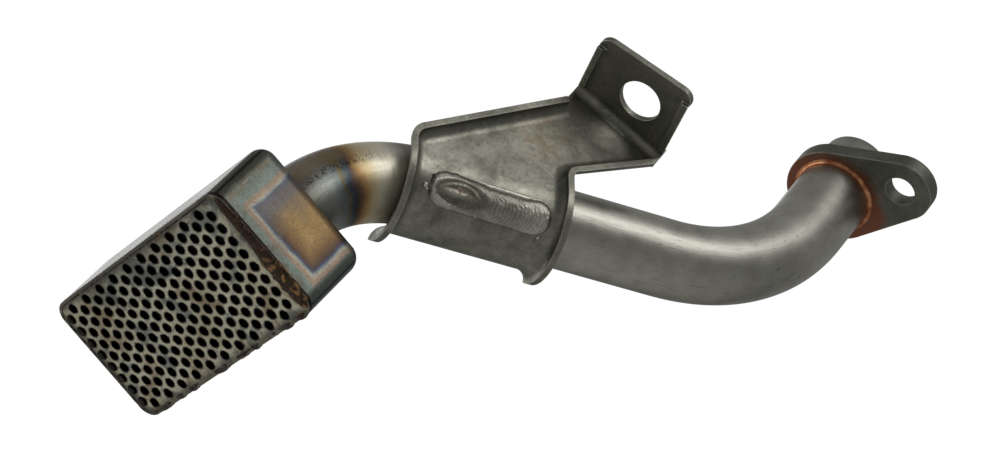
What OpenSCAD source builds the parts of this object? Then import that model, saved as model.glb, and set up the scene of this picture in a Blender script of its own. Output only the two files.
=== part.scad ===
// Oil pickup tube: a bent steel tube with a brazed mounting flange at one end, a welded
// strainer box with a perforated screen at the other, and a stamped support bracket.
// The origin is the centre of the flange's seating face. +Z runs up the tube towards the
// screen, and the tube's centre line lies in the XZ plane.

/* [Tube] */
// Outer diameter of the tube
tube_d = 22.2; // [16:0.1:32]
// Wall thickness of the tube
tube_wall = 1.65; // [1.2:0.05:2.2]
// Straight length from the flange's top face to the first bend
riser_len = 17.8; // [10:0.1:40]
// Angle that each of the two bends turns through
bend_angle = 57; // [45:0.5:68]
// Centre-line radius of the bend beside the flange
flange_bend_r = 57; // [42:0.5:75]
// Centre-line radius of the bend under the strainer
inlet_bend_r = 45; // [42:0.5:70]
// How much the bender draws the section's radius down in the bends
bend_draw = 0.1; // [0.08:0.01:0.3]
// Straight length of the sloping run between the bends
run_len = 72; // [64:0.5:120]
// Straight length from the last bend to the strainer's floor
inlet_len = 4.2; // [2:0.1:20]
// How far the tube's end stands up inside the strainer
inlet_stand = 1.5; // [0.5:0.1:5]

/* [Spigot] */
// Diameter of the turned end that enters the engine's oil port
spigot_d = 21.2; // [20.4:0.1:22]
// Length of the turned end below the flange
spigot_len = 12; // [6:0.5:25]
// Lead-in chamfer on the turned end
spigot_chamfer = 0.6; // [0.2:0.1:0.8]

/* [Flange] */
// Thickness of the mounting flange
flange_t = 4.8; // [3:0.1:10]
// Radius of the flange round the tube
flange_r = 14.8; // [14:0.1:22]
// Distance from the tube's axis to the bolt hole
bolt_reach = 22.3; // [20:0.1:40]
// Direction of the bolt ear about the tube's axis
bolt_turn = -127; // [-180:1:180]
// Radius of the ear round the bolt hole
ear_r = 9.5; // [7:0.1:13]
// Diameter of the flange's bolt hole
bolt_hole_d = 9; // [6:0.1:11]
// Leg of the copper braze fillet between tube and flange
braze_leg = 1.4; // [0.8:0.1:2.6]

/* [Strainer box] */
// Length of the strainer box
box_len = 81.6; // [60:0.2:120]
// Width of the strainer box
box_wid = 39.6; // [34:0.2:70]
// Overall depth from the box's floor to the screen's face
box_deep = 25.5; // [15:0.5:50]
// Sheet thickness of the box
box_wall = 1.5; // [1:0.1:2.5]
// Outer radius of the box's formed corners
box_round = 4.5; // [3:0.1:6]
// Turn of the box's long side about the tube's axis
box_turn = 76.5; // [0:0.5:360]
// Distance from the tube's axis to the near end of the box
inlet_set = 17.4; // [17:0.1:40]
// Leg of the weld fillet between tube and box
inlet_weld_leg = 1.6; // [0.8:0.1:1.7]

/* [Screen] */
// Thickness of the perforated plate
screen_t = 1.2; // [0.8:0.1:2]
// Diameter of each perforation
mesh_d = 2.8; // [1.5:0.1:3.4]
// Distance between neighbouring perforations
mesh_pitch = 4.14; // [3.8:0.01:7]
// Land left for the weld at the near end, to the first row's centres
mesh_land_near = 6.9; // [6:0.1:15]
// Land at the far end, to the last row's centres
mesh_land_far = 2.6; // [2.2:0.1:15]
// Land along each long side, to the outer perforations' centres
mesh_land_side = 3.1; // [2.2:0.1:15]
// Width of the weld bead along the near end
bead_w = 4; // [2.5:0.1:5]
// Height of the weld bead over the screen
bead_h = 1.5; // [0.8:0.1:2]

/* [Bracket] */
// Sheet thickness of the bracket
sheet_t = 1.8; // [1.2:0.1:2.6]
// Gap between the tube and the formed saddle
saddle_gap = 0.9; // [0.7:0.05:1.4]
// How far the saddle runs on past the straight run, over the second bend
saddle_over = 11.2; // [4:0.1:12]
// Length of the saddle along the run
saddle_len = 47.7; // [38:0.1:48]
// How far round the saddle wraps on the side away from the tab
saddle_wrap = 46; // [40:1:88]
// Inside radius of the turned-up edges
lip_r = 3.2; // [2:0.1:4]
// Drop from the tube's axis to the web's far corner
far_drop = 6.3; // [5.8:0.1:20]
// Drop from the tube's axis to the web's near corner
near_drop = 6.2; // [5.8:0.1:20]
// Outside radius of the web's near corner
near_corner_r = 2.5; // [1:0.1:4]
// Outside radius of the web's far corner
far_corner_r = 6.5; // [6.4:0.1:9]

/* [Bracket tab] */
// Height of the tab's upper face over the flange's seat
tab_z = 55.5; // [45:0.1:62]
// Bolt hole's distance from the flange axis, along the run
tab_hole_x = 58.7; // [50:0.1:68]
// Bolt hole's distance from the tube's plane
tab_hole_y = 25.7; // [25:0.1:40]
// Diameter of the tab's bolt hole
tab_hole_d = 12.4; // [6:0.1:16]
// Lean of the tab's sides towards the strainer
tab_lean = 8; // [0:0.5:12]
// Tab's width on the flange side of its hole
tab_near = 12.8; // [11:0.1:20]
// Tab's width on the strainer side of its hole
tab_far = 17.3; // [11:0.1:20]
// Tab's length beyond its hole
tab_end = 12.2; // [10:0.1:20]
// Outside radius of the tab's two free corners
tab_corner_r = 3.5; // [1:0.1:8]
// Inside radius of the fold between web and tab
tab_fold_r = 2.6; // [1:0.1:4]
// Inside radius of the tab's turned-up sides
tab_lip_r = 1.2; // [0.8:0.1:2]
// Height over the fold at which the far edge's lip stops short of the tab
far_rise = 5.4; // [4:0.1:8]
// Height over the fold at which the near edge's lip runs out at the tab's side
near_rise = 3.6; // [2:0.1:6]

/* [Slot weld] */
// Length of the weld bead on the saddle
slot_weld_len = 35.8; // [26:0.1:37]
// Radius of the bead's crown across the saddle
slot_weld_crown = 7.4; // [6:0.1:8.5]
// Height of the bead over the saddle
slot_weld_h = 1.1; // [0.6:0.1:1.6]
// Turn of the bead round the saddle, from its top towards the tab
slot_weld_turn = 55; // [30:1:60]
// Length of the slot that the weld fills
slot_len = 27; // [15:0.5:28]
// Width of the slot that the weld fills
slot_wid = 6.5; // [4:0.1:8]

/* [Hidden] */

$fn = 96;
// Reach of a cutting shape past the face that it cuts
cut = 1;
// Hair-thin overlap by which the bracket's corners take in the stretches that run into them
lap = 0.02;
// Length by which one stretch of tube or edge runs into the next
lap_len = 0.4;
tube_r = tube_d / 2;
bore_r = tube_r - tube_wall;

// Stations along the tube's centre line
bend1_z = flange_t + riser_len;
run_x = flange_bend_r * (1 - cos(bend_angle));
run_z = bend1_z + flange_bend_r * sin(bend_angle);
bend2_x = run_x + run_len * sin(bend_angle);
bend2_z = run_z + run_len * cos(bend_angle);
inlet_x = bend2_x + inlet_bend_r * (1 - cos(bend_angle));
inlet_z = bend2_z + inlet_bend_r * sin(bend_angle);
floor_z = inlet_z + inlet_len;

// Screen pattern: staggered rows across the box
row_step = mesh_pitch * sqrt(3) / 2;
mesh_span_len = box_len - mesh_land_near - mesh_land_far;
mesh_span_wid = box_wid - 2 * mesh_land_side;
mesh_rows = floor(mesh_span_len / row_step) + 1;
mesh_cols = floor(mesh_span_wid / mesh_pitch) + 1;
mesh_first = mesh_land_near + (mesh_span_len - (mesh_rows - 1) * row_step) / 2;
tub_h = box_deep - screen_t;

// Bracket sections, worked out across the run
saddle_in = tube_r + saddle_gap;
saddle_out = saddle_in + sheet_t;
lip_w = sheet_t + lip_r;
lip_top = saddle_out + lip_r;
saddle_end = run_len + saddle_over;
saddle_start = saddle_end - saddle_len;
fold_z = tab_z + tab_fold_r;
tab_y0 = saddle_out + tab_fold_r;
tab_y1 = tab_hole_y + tab_end;
tab_lip_w = sheet_t + tab_lip_r;

// Points of the web in the XZ plane, from a station along the run and a drop below its axis
function web_point(station, drop) = [
  run_x + station * sin(bend_angle) + drop * cos(bend_angle),
  run_z + station * cos(bend_angle) - drop * sin(bend_angle)
];
function heading(p, q) = atan2(q[1] - p[1], q[0] - p[0]);
function unit(a) = [cos(a), sin(a)];
function left_of(a) = [-sin(a), cos(a)];
function meet(p, a, q, b) =
  let (d = q - p, u = unit(a), v = unit(b), k = (d[0] * v[1] - d[1] * v[0]) / (u[0] * v[1] - u[1] * v[0]))
  p + k * u;

// A point of the tab in the XY plane, from its distances to the bolt hole across and along the tab
function tab_point(side, out) = [tab_hole_x, -tab_hole_y] + side * unit(tab_lean) - out * left_of(tab_lean);
// Where one of the tab's sides meets the fold
function tab_root(side) = tab_point(side, (tab_y0 - tab_hole_y + side * sin(tab_lean)) / cos(tab_lean));
tab_x0 = tab_root(-tab_near)[0];
tab_x1 = tab_root(tab_far)[0];

far_top = web_point(saddle_end, 0);
far_corner = web_point(saddle_end, far_drop);
far_foot = [tab_x1, fold_z + far_rise];
near_top = web_point(saddle_start, 0);
near_corner = web_point(saddle_start, near_drop);
near_foot = [tab_x0, fold_z + near_rise];
lip_drop_angle = heading(far_top, far_corner);
far_angle = heading(far_corner, far_foot);
near_angle = heading(near_corner, near_foot);

// The flat web inside the turned-up edges, and the centres that its two corners swing about
flat_far_top = far_top - lip_w * left_of(lip_drop_angle);
flat_far_corner = meet(flat_far_top, lip_drop_angle, far_corner - lip_w * left_of(far_angle), far_angle);
flat_far_foot = far_foot - lip_w * left_of(far_angle);
flat_near_top = near_top + lip_w * left_of(lip_drop_angle);
flat_near_corner = meet(flat_near_top, lip_drop_angle, near_corner + lip_w * left_of(near_angle), near_angle);
flat_near_foot = meet(flat_near_corner, near_angle, [tab_x0, fold_z], 0);
far_bend_c = meet(far_top - far_corner_r * left_of(lip_drop_angle), lip_drop_angle,
                  far_corner - far_corner_r * left_of(far_angle), far_angle);
near_bend_c = meet(near_top - near_corner_r * left_of(lip_drop_angle), lip_drop_angle,
                   near_corner - near_corner_r * left_of(near_angle), near_angle);
// Length of the flat tail behind a turned-up edge, and of the one that fills the near corner
flat_tail = 0.6;
near_tail = norm(flat_near_corner - near_bend_c) - near_corner_r - lip_w + flat_tail;

// Carries a child round a bend that starts along +Z and turns towards +X
module past_bend(bend_r, angle) {
  translate([bend_r, 0, 0]) rotate([0, angle, 0]) translate([-bend_r, 0, 0]) children();
}

// Places a child in the run's own frame: Z along the run, -X to the outside of the first bend
module on_run() {
  translate([0, 0, bend1_z]) past_bend(flange_bend_r, bend_angle) children();
}

// Places a child in the strainer's frame: X along the box, Z up, origin where the tube enters
module on_box() {
  translate([inlet_x, 0, floor_z]) rotate([0, 0, box_turn]) children();
}

// Turns a drawing in the XZ plane, raised along its own Z, to stand on the -Y side of the tube
module on_web() {
  rotate([90, 0, 0]) children();
}

module rod(r, z0, z1) {
  translate([0, 0, z0]) cylinder(r = r, h = z1 - z0);
}

// A bend that starts along +Z and turns towards +X, in a tube of radius r
module elbow(bend_r, r) {
  translate([bend_r, 0, 0]) rotate([90, 0, 0]) rotate([0, 0, 180 - bend_angle])
    rotate_extrude(angle = bend_angle) translate([bend_r, 0]) circle(r - bend_draw);
}

// The tube's whole path at one radius, from a height under the flange to inside the strainer
module tube_path(r, z0, z1) {
  rod(r, z0, bend1_z + lap_len);
  translate([0, 0, bend1_z]) elbow(flange_bend_r, r);
  on_run() {
    rod(r, -lap_len, run_len + lap_len);
    translate([0, 0, run_len]) {
      mirror([1, 0, 0]) elbow(inlet_bend_r, r);
      past_bend(-inlet_bend_r, -bend_angle) rod(r, -lap_len, z1 - inlet_z);
    }
  }
}

// A rounded rectangle with its near edge at x = 0
module round_rect(l, w, r) {
  translate([0, r - w / 2]) square([l, w - 2 * r]);
  translate([r, -w / 2]) square([l - 2 * r, w]);
  for (x = [r, l - r], y = [r - w / 2, w / 2 - r]) translate([x, y]) circle(r);
}

// A formed pan: flat floor, rolled lower edges and ball corners
module pan(l, w, h, r) {
  translate([0, 0, r]) linear_extrude(h - r) round_rect(l, w, r);
  translate([r, r - w / 2, 0]) cube([l - 2 * r, w - 2 * r, r]);
  for (y = [r - w / 2, w / 2 - r]) translate([r, y, r]) rotate([0, 90, 0]) cylinder(r = r, h = l - 2 * r);
  for (x = [r, l - r]) translate([x, w / 2 - r, r]) rotate([90, 0, 0]) cylinder(r = r, h = w - 2 * r);
  for (x = [r, l - r], y = [r - w / 2, w / 2 - r]) translate([x, y, r]) sphere(r);
}

// A concave fillet ring round a tube, standing on the plane z = 0
module fillet_ring(r, leg) {
  rotate_extrude() difference() {
    translate([r, 0]) square(leg);
    translate([r + leg, leg]) circle(leg);
  }
}

// The flange's teardrop blank: two discs joined just inside their outer tangents
module flange_blank() {
  lean = asin((flange_r - ear_r) / bolt_reach);
  foot = (flange_r - lap) * [sin(lean), cos(lean)];
  head = [bolt_reach, 0] + (ear_r - lap) * [sin(lean), cos(lean)];
  rod(flange_r, 0, flange_t);
  translate([bolt_reach, 0, 0]) rod(ear_r, 0, flange_t);
  linear_extrude(flange_t) polygon([foot, head, [head[0], -head[1]], [foot[0], -foot[1]]]);
}

// Section of a turned-up edge: a quarter turn of sheet with its outer face on x = 0, then a flat
// tail that lies in the web. A corner's section is thicker than a straight one by grow.
module lip_section(grow, tail) {
  intersection() {
    translate([lip_w, lip_top]) difference() {
      circle(lip_w + grow);
      circle(lip_r - grow);
    }
    translate([-grow, saddle_in - grow]) square([lip_w + grow, lip_w + 2 * grow]);
  }
  translate([lip_w - lap_len, saddle_in - grow]) square([tail + lap_len, sheet_t + 2 * grow]);
}

// A straight turned-up edge from p to q, with the web on its left
module lip_line(p, q) {
  translate(p) rotate([0, 0, heading(p, q)]) rotate([90, 0, 90]) linear_extrude(norm(q - p))
    lip_section(0, flat_tail);
}

// A turned-up edge round an outside corner of radius r, from one direction of its rim to the next
module lip_outside(c, r, a0, a1) {
  over = lap_len / r * 180 / PI;
  translate(c) rotate([0, 0, a0 - over]) rotate_extrude(angle = a1 - a0 + 2 * over)
    translate([r, 0]) mirror([1, 0]) lip_section(lap, flat_tail);
}

// A turned-up edge round an inside corner of radius r
module lip_inside(c, r, a0, a1, tail) {
  over = lap_len / (r + lip_w) * 180 / PI;
  translate(c) rotate([0, 0, a0 - over]) rotate_extrude(angle = a1 - a0 + 2 * over)
    translate([r, 0]) lip_section(lap, tail);
}

module bracket_saddle() {
  over = lap_len / saddle_out * 180 / PI;
  on_run() rotate([0, 0, 180 - saddle_wrap]) rotate_extrude(angle = saddle_wrap + 90 + over) {
    translate([saddle_in - lap, saddle_start + lip_w]) square([sheet_t + 2 * lap, saddle_len - 2 * lip_w]);
    translate([0, saddle_start]) mirror([1, -1]) lip_section(lap, flat_tail);
    translate([0, saddle_end]) mirror([0, 1]) mirror([1, -1]) lip_section(lap, flat_tail);
  }
}

module bracket_web() {
  far_lap = lap_len * unit(far_angle);
  on_web() {
    translate([0, 0, saddle_in]) linear_extrude(sheet_t)
      polygon([flat_far_top, flat_far_corner, flat_far_foot - far_lap, far_foot - far_lap, far_foot, [tab_x1, fold_z],
               [tab_x0, fold_z], flat_near_foot, flat_near_corner, flat_near_top]);
    lip_outside(far_bend_c, far_corner_r, far_angle + 90, lip_drop_angle + 90);
    lip_inside(near_bend_c, near_corner_r, near_angle + 90, lip_drop_angle + 90, near_tail);
    lip_line(far_bend_c + far_corner_r * left_of(lip_drop_angle), far_top);
    lip_line(near_top, near_bend_c + near_corner_r * left_of(lip_drop_angle));
    difference() {
      union() {
        lip_line(far_foot, far_bend_c + far_corner_r * left_of(far_angle));
        lip_line(near_bend_c + near_corner_r * left_of(near_angle), near_foot + (near_rise + lip_w) * unit(near_angle));
      }
      translate([tab_x0 - tab_far, fold_z - tab_z, 0]) cube([2 * (tab_x1 - tab_x0), tab_z, 2 * tab_y1]);
      translate([tab_x0 - tab_far, 0, 0]) cube([tab_far, 2 * fold_z, 2 * tab_y1]);
    }
  }
}

// A turned-up side of the tab, along -Y to its rounded corner, with its outer face on x = 0
module tab_lip(end) {
  translate([0, tab_hole_y, 0]) rotate([90, 0, 0]) linear_extrude(tab_hole_y + end) {
    intersection() {
      translate([tab_lip_w, tab_lip_r]) difference() {
        circle(tab_lip_w);
        circle(tab_lip_r);
      }
      translate([0, -sheet_t]) square(tab_lip_w);
    }
    translate([tab_lip_w - lap_len, -sheet_t]) square([flat_tail + lap_len, sheet_t]);
  }
}

// A stretch of the tab's flat sheet, between two distances across the tab and two along it
module tab_plate(near, far, out0, out1) {
  linear_extrude(sheet_t)
    polygon([tab_point(near, out0), tab_point(near, out1), tab_point(far, out1), tab_point(far, out0)]);
}

module bracket_tab() {
  end = tab_end - tab_corner_r;
  flat_near = tab_lip_w - tab_near;
  flat_far = tab_far - tab_lip_w;
  round_near = tab_corner_r - tab_near;
  round_far = tab_far - tab_corner_r;
  translate([tab_x0, -tab_y0, fold_z]) rotate([90, 0, 90]) linear_extrude(tab_x1 - tab_x0) intersection() {
    difference() {
      circle(tab_fold_r + sheet_t);
      circle(tab_fold_r);
    }
    translate([0, -tab_fold_r - sheet_t]) square(tab_fold_r + sheet_t);
  }
  translate([0, 0, tab_z - sheet_t]) {
    linear_extrude(sheet_t)
      polygon([tab_root(flat_near), tab_point(flat_near, end), tab_point(flat_far, end), tab_root(flat_far)]);
    tab_plate(-tab_near, tab_far, end - lap_len, end);
    tab_plate(round_near, round_far, end - lap_len, tab_end);
    for (side = [round_near, round_far]) translate(tab_point(side, end)) rod(tab_corner_r - lap, 0, sheet_t);
  }
  difference() {
    translate([tab_hole_x, -tab_hole_y, tab_z]) rotate([0, 0, tab_lean]) {
      translate([-tab_near, 0, 0]) tab_lip(end);
      translate([tab_far, 0, 0]) mirror([1, 0, 0]) tab_lip(end);
    }
    translate([tab_x0 - tab_far, -tab_y0, 0]) cube([2 * (tab_x1 - tab_x0), 2 * tab_y0, 2 * tab_z]);
  }
}

// Places a child on the saddle at the weld: Z out of the saddle, X along the run
module on_slot() {
  on_run() rotate([0, 0, 180 + slot_weld_turn]) translate([0, 0, saddle_start + saddle_len / 2])
    rotate([0, 90, 0]) children();
}

// The slot's outline, standing on the tube's axis
module slot_prism(h) {
  linear_extrude(h) {
    square([slot_len - slot_wid, slot_wid], center = true);
    for (s = [1, -1]) translate([s * (slot_len - slot_wid) / 2, 0]) circle(slot_wid / 2);
  }
}

module tube() {
  color("lightslategray") difference() {
    union() {
      tube_path(tube_r, 0, floor_z + box_wall + inlet_stand);
      rod(spigot_d / 2, spigot_chamfer - spigot_len, 0);
      translate([0, 0, -spigot_len])
        cylinder(r1 = spigot_d / 2 - spigot_chamfer, r2 = spigot_d / 2, h = spigot_chamfer);
    }
    tube_path(bore_r, -spigot_len - cut, floor_z + box_wall + inlet_stand + cut);
  }
}

module flange() {
  color("dimgray") difference() {
    rotate([0, 0, bolt_turn]) flange_blank();
    rod(tube_r, -cut, flange_t + cut);
    rotate([0, 0, bolt_turn]) translate([bolt_reach, 0, 0]) rod(bolt_hole_d / 2, -cut, flange_t + cut);
  }
}

module flange_braze() {
  color("peru") translate([0, 0, flange_t]) fillet_ring(tube_r, braze_leg);
}

module strainer_box() {
  color("darkseagreen") on_box() difference() {
    translate([-inlet_set, 0, 0]) pan(box_len, box_wid, tub_h, box_round);
    translate([box_wall - inlet_set, 0, box_wall])
      pan(box_len - 2 * box_wall, box_wid - 2 * box_wall, tub_h, box_round - box_wall);
    rod(tube_r, -cut, box_wall + cut);
  }
}

module inlet_weld() {
  color("saddlebrown") on_box() mirror([0, 0, 1]) fillet_ring(tube_r, inlet_weld_leg);
}

module screen() {
  color("darkkhaki") on_box() translate([-inlet_set, 0, tub_h]) linear_extrude(screen_t) difference() {
    round_rect(box_len, box_wid, box_round);
    for (i = [0 : mesh_rows - 1]) {
      count = mesh_cols - (i + mesh_rows) % 2;
      for (j = [0 : count - 1])
        translate([mesh_first + i * row_step, (j - (count - 1) / 2) * mesh_pitch]) circle(d = mesh_d);
    }
  }
}

module screen_weld() {
  bead_r = (bead_w * bead_w / 4 + bead_h * bead_h) / (2 * bead_h);
  bead_run = box_wid - 2 * box_round;
  color("saddlebrown") on_box() translate([bead_w / 2 - inlet_set, 0, box_deep]) intersection() {
    translate([0, 0, bead_h - bead_r]) {
      translate([0, -bead_run / 2, 0]) rotate([-90, 0, 0]) cylinder(r = bead_r, h = bead_run);
      for (s = [1, -1]) translate([0, s * bead_run / 2, 0]) sphere(bead_r);
    }
    translate([-bead_w, -box_wid / 2, 0]) cube([2 * bead_w, box_wid, bead_h + cut]);
  }
}

module bracket() {
  color("slategray") difference() {
    union() {
      bracket_saddle();
      bracket_web();
      bracket_tab();
    }
    on_slot() slot_prism(lip_top);
    translate([tab_hole_x, -tab_hole_y, tab_z - sheet_t]) rod(tab_hole_d / 2, -cut, sheet_t + cut);
  }
}

module slot_weld() {
  crown_out = saddle_out + slot_weld_h;
  crown_in = crown_out - slot_weld_crown;
  end_reach = sqrt(slot_weld_crown * slot_weld_crown - pow(saddle_out - crown_in, 2));
  half = slot_weld_len / 2 - end_reach;
  root_out = saddle_out + slot_weld_h / 3;
  color("gray") {
    difference() {
      on_slot() translate([0, 0, crown_in]) {
        translate([-half, 0, 0]) rotate([0, 90, 0]) cylinder(r = slot_weld_crown, h = 2 * half);
        for (s = [1, -1]) translate([s * half, 0, 0]) sphere(slot_weld_crown);
      }
      on_run() rod(saddle_out + lap, 0, saddle_end + run_len);
    }
    intersection() {
      on_slot() slot_prism(lip_top);
      on_run() difference() {
        rod(root_out, saddle_start, saddle_end);
        rod(tube_r, saddle_start - cut, saddle_end + cut);
      }
    }
  }
}

tube();
flange();
flange_braze();
strainer_box();
inlet_weld();
screen();
screen_weld();
bracket();
slot_weld();
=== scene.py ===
"""Looks of the oil pickup tube: bare bent steel, heat-tinted strainer, stamped bracket, copper braze."""

import math

import bmesh
import bpy
from mathutils import Matrix, Vector, noise


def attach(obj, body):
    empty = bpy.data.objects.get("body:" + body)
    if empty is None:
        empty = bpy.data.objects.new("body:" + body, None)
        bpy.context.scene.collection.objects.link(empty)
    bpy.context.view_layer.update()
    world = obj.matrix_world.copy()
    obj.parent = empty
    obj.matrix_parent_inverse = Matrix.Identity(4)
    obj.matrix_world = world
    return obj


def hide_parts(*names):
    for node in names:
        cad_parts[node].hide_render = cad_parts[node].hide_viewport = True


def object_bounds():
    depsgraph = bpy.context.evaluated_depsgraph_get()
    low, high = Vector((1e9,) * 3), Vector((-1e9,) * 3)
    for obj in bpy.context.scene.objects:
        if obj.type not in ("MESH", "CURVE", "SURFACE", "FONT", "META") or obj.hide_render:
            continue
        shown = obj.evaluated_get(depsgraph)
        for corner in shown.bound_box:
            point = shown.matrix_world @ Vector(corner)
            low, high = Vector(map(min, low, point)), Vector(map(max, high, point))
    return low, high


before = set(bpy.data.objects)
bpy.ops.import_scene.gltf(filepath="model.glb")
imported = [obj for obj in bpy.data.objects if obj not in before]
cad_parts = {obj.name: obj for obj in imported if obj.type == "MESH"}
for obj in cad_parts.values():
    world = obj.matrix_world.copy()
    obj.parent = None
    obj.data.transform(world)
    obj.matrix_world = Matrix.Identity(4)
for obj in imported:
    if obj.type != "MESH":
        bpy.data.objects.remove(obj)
cad_low, cad_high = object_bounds()
MM = 0.001
BODY = "root"

# Sizes of the part, in millimetres, as the solids have them; the tab's fold by its y and z
TUBE_R = 11.1
BORE_R = 9.45
SPIGOT_R = 10.6
SPIGOT_LEN = 12.0
SPIGOT_CHAMFER = 0.6
FLANGE_T = 4.8
RISER_LEN = 17.8
BEND = math.radians(57)
FLANGE_BEND_R = 57.0
INLET_BEND_R = 45.0
RUN_LEN = 72.0
INLET_LEN = 4.2
INLET_STAND = 3.0
BRAZE_LEG = 1.15
BOX_TURN = math.radians(76.5)
BOX_LEN = 81.6
BOX_WID = 39.6
BOX_DEEP = 25.5
BOX_ROUND = 4.5
BOX_WALL = 1.5
MESH_D = 2.8
MESH_PITCH = 4.14
MESH_ROW = MESH_PITCH * math.sqrt(3) / 2
MESH_FIRST = 7.1
INLET_SET = 17.4
SADDLE_OUT = 13.8
TAB_FOLD = (-16.4, 58.1)

# Stations of the tube's centre line
BEND1_Z = FLANGE_T + RISER_LEN
RUN_X = FLANGE_BEND_R * (1 - math.cos(BEND))
RUN_Z = BEND1_Z + FLANGE_BEND_R * math.sin(BEND)
BEND2_X = RUN_X + RUN_LEN * math.sin(BEND)
BEND2_Z = RUN_Z + RUN_LEN * math.cos(BEND)
INLET_X = BEND2_X + INLET_BEND_R * (1 - math.cos(BEND))
INLET_Z = BEND2_Z + INLET_BEND_R * math.sin(BEND)
FLOOR_Z = INLET_Z + INLET_LEN
RUN_AT = BEND1_Z + FLANGE_BEND_R * BEND
BEND2_AT = RUN_AT + RUN_LEN
INLET_AT = BEND2_AT + INLET_BEND_R * BEND
TUBE_END = INLET_AT + INLET_LEN + INLET_STAND

# The usual range of a noise, and how far two normals agree where an edge begins and where it is full
NOISE_LOW = 0.3
NOISE_HIGH = 0.7
EDGE_BEGINS = 0.98
EDGE_FULL = 0.80
BEVEL_SAMPLES = 6


class Nodes:
    """One material's node tree, built with short calls. Places are in millimetres in the part's frame."""

    def __init__(self, name):
        self.material = bpy.data.materials.new(name)
        self.material.use_nodes = True
        self.tree = self.material.node_tree
        self.shader = self.tree.nodes["Principled BSDF"]
        coords = self.node("ShaderNodeTexCoord")
        self.at = self.vector("SCALE", coords.outputs["Object"], scale=1 / MM)

    def node(self, kind, **settings):
        """A new node with its settings."""
        made = self.tree.nodes.new(kind)
        for key, value in settings.items():
            setattr(made, key, value)
        return made

    def put(self, socket, value):
        """Link an output to a socket, or set the socket to a plain value."""
        if isinstance(value, bpy.types.NodeSocket):
            self.tree.links.new(value, socket)
        elif isinstance(value, (tuple, list)) and len(value) == 3 and socket.type == "RGBA":
            socket.default_value = (*value, 1)
        else:
            socket.default_value = value

    def set(self, name, value):
        """Link or set an input of the shader."""
        self.put(self.shader.inputs[name], value)

    def metal(self, colour, roughness, normal):
        """The finished material: bare metal with these looks."""
        self.set("Base Color", colour)
        self.set("Metallic", 1.0)
        self.set("Roughness", roughness)
        self.set("Normal", normal)
        return self.material

    def math(self, operation, a, b=0.0):
        """One sum of one or two values."""
        made = self.node("ShaderNodeMath", operation=operation)
        self.put(made.inputs[0], a)
        self.put(made.inputs[1], b)
        return made.outputs[0]

    def times(self, a, b):
        return self.math("MULTIPLY", a, b)

    def plus(self, a, b):
        return self.math("ADD", a, b)

    def minus(self, a, b):
        return self.math("SUBTRACT", a, b)

    def least(self, first, *others):
        """The least of several values."""
        for other in others:
            first = self.math("MINIMUM", first, other)
        return first

    def hypotenuse(self, a, b):
        return self.math("SQRT", self.plus(self.times(a, a), self.times(b, b)))

    def vector(self, operation, a, b=None, scale=None):
        """One sum of vectors."""
        made = self.node("ShaderNodeVectorMath", operation=operation)
        self.put(made.inputs[0], a)
        if b is not None:
            self.put(made.inputs[1], b)
        if scale is not None:
            self.put(made.inputs["Scale"], scale)
        one_value = operation in ("DOT_PRODUCT", "DISTANCE", "LENGTH")
        return made.outputs["Value" if one_value else "Vector"]

    def turned(self, at, angle):
        """A place turned about +Z."""
        made = self.node("ShaderNodeVectorRotate", rotation_type="Z_AXIS")
        self.put(made.inputs["Vector"], at)
        made.inputs["Angle"].default_value = angle
        return made.outputs["Vector"]

    def split(self, at):
        """The three parts of a place."""
        made = self.node("ShaderNodeSeparateXYZ")
        self.put(made.inputs[0], at)
        return made.outputs[0], made.outputs[1], made.outputs[2]

    def noise(self, at, scale, detail=4.0, roughness=0.55, distortion=0.0):
        """A cloudy value, mostly within the usual range of a noise."""
        made = self.node("ShaderNodeTexNoise")
        self.put(made.inputs["Vector"], at)
        made.inputs["Scale"].default_value = scale
        made.inputs["Detail"].default_value = detail
        made.inputs["Roughness"].default_value = roughness
        made.inputs["Distortion"].default_value = distortion
        return made.outputs["Fac"]

    def stretched(self, at, x, y, z):
        return self.vector("MULTIPLY", at, (x, y, z))

    def fade(self, value, low, high):
        """Smoothly from 0 where the value is low to 1 where it is high; low may be the larger."""
        made = self.node("ShaderNodeMapRange", interpolation_type="SMOOTHSTEP")
        self.put(made.inputs["Value"], value)
        made.inputs["From Min"].default_value = low
        made.inputs["From Max"].default_value = high
        return made.outputs["Result"]

    def within(self, value, window):
        """From 0 at the window's first place to 1 at its second, and from its third back to 0 at its last."""
        begin, full, wane, end = window
        return self.times(self.fade(value, begin, full), self.fade(value, end, wane))

    def spread(self, value, to_low, to_high):
        """A noise carried from its usual range to another."""
        return self.span(value, NOISE_LOW, NOISE_HIGH, to_low, to_high)

    def span(self, value, low, high, to_low, to_high):
        """A value carried in a straight line from one range to another."""
        made = self.node("ShaderNodeMapRange")
        self.put(made.inputs["Value"], value)
        made.inputs["From Min"].default_value = low
        made.inputs["From Max"].default_value = high
        made.inputs["To Min"].default_value = to_low
        made.inputs["To Max"].default_value = to_high
        return made.outputs["Result"]

    def ramp(self, value, low, high, stops):
        """Colours along a value; stops are (value, colour) in the value's own units."""
        made = self.node("ShaderNodeValToRGB")
        self.put(made.inputs["Fac"], self.span(value, low, high, 0, 1))
        elements = made.color_ramp.elements
        while len(elements) < len(stops):
            elements.new(0.5)
        for element, (place, colour) in zip(elements, stops):
            element.position = (place - low) / (high - low)
            element.color = (*colour, 1)
        return made.outputs["Color"]

    def mix(self, factor, a, b, blend="MIX"):
        """From one colour where the factor is 0 to the other where it is 1."""
        made = self.node("ShaderNodeMix", data_type="RGBA", blend_type=blend)
        self.put(made.inputs[0], factor)
        self.put(made.inputs[6], a)
        self.put(made.inputs[7], b)
        return made.outputs[2]

    def stained(self, colour, mask, strength, stain):
        """A colour with another over it where the mask is 1, at a strength up to 1."""
        return self.mix(self.times(mask, strength), colour, stain)

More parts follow.
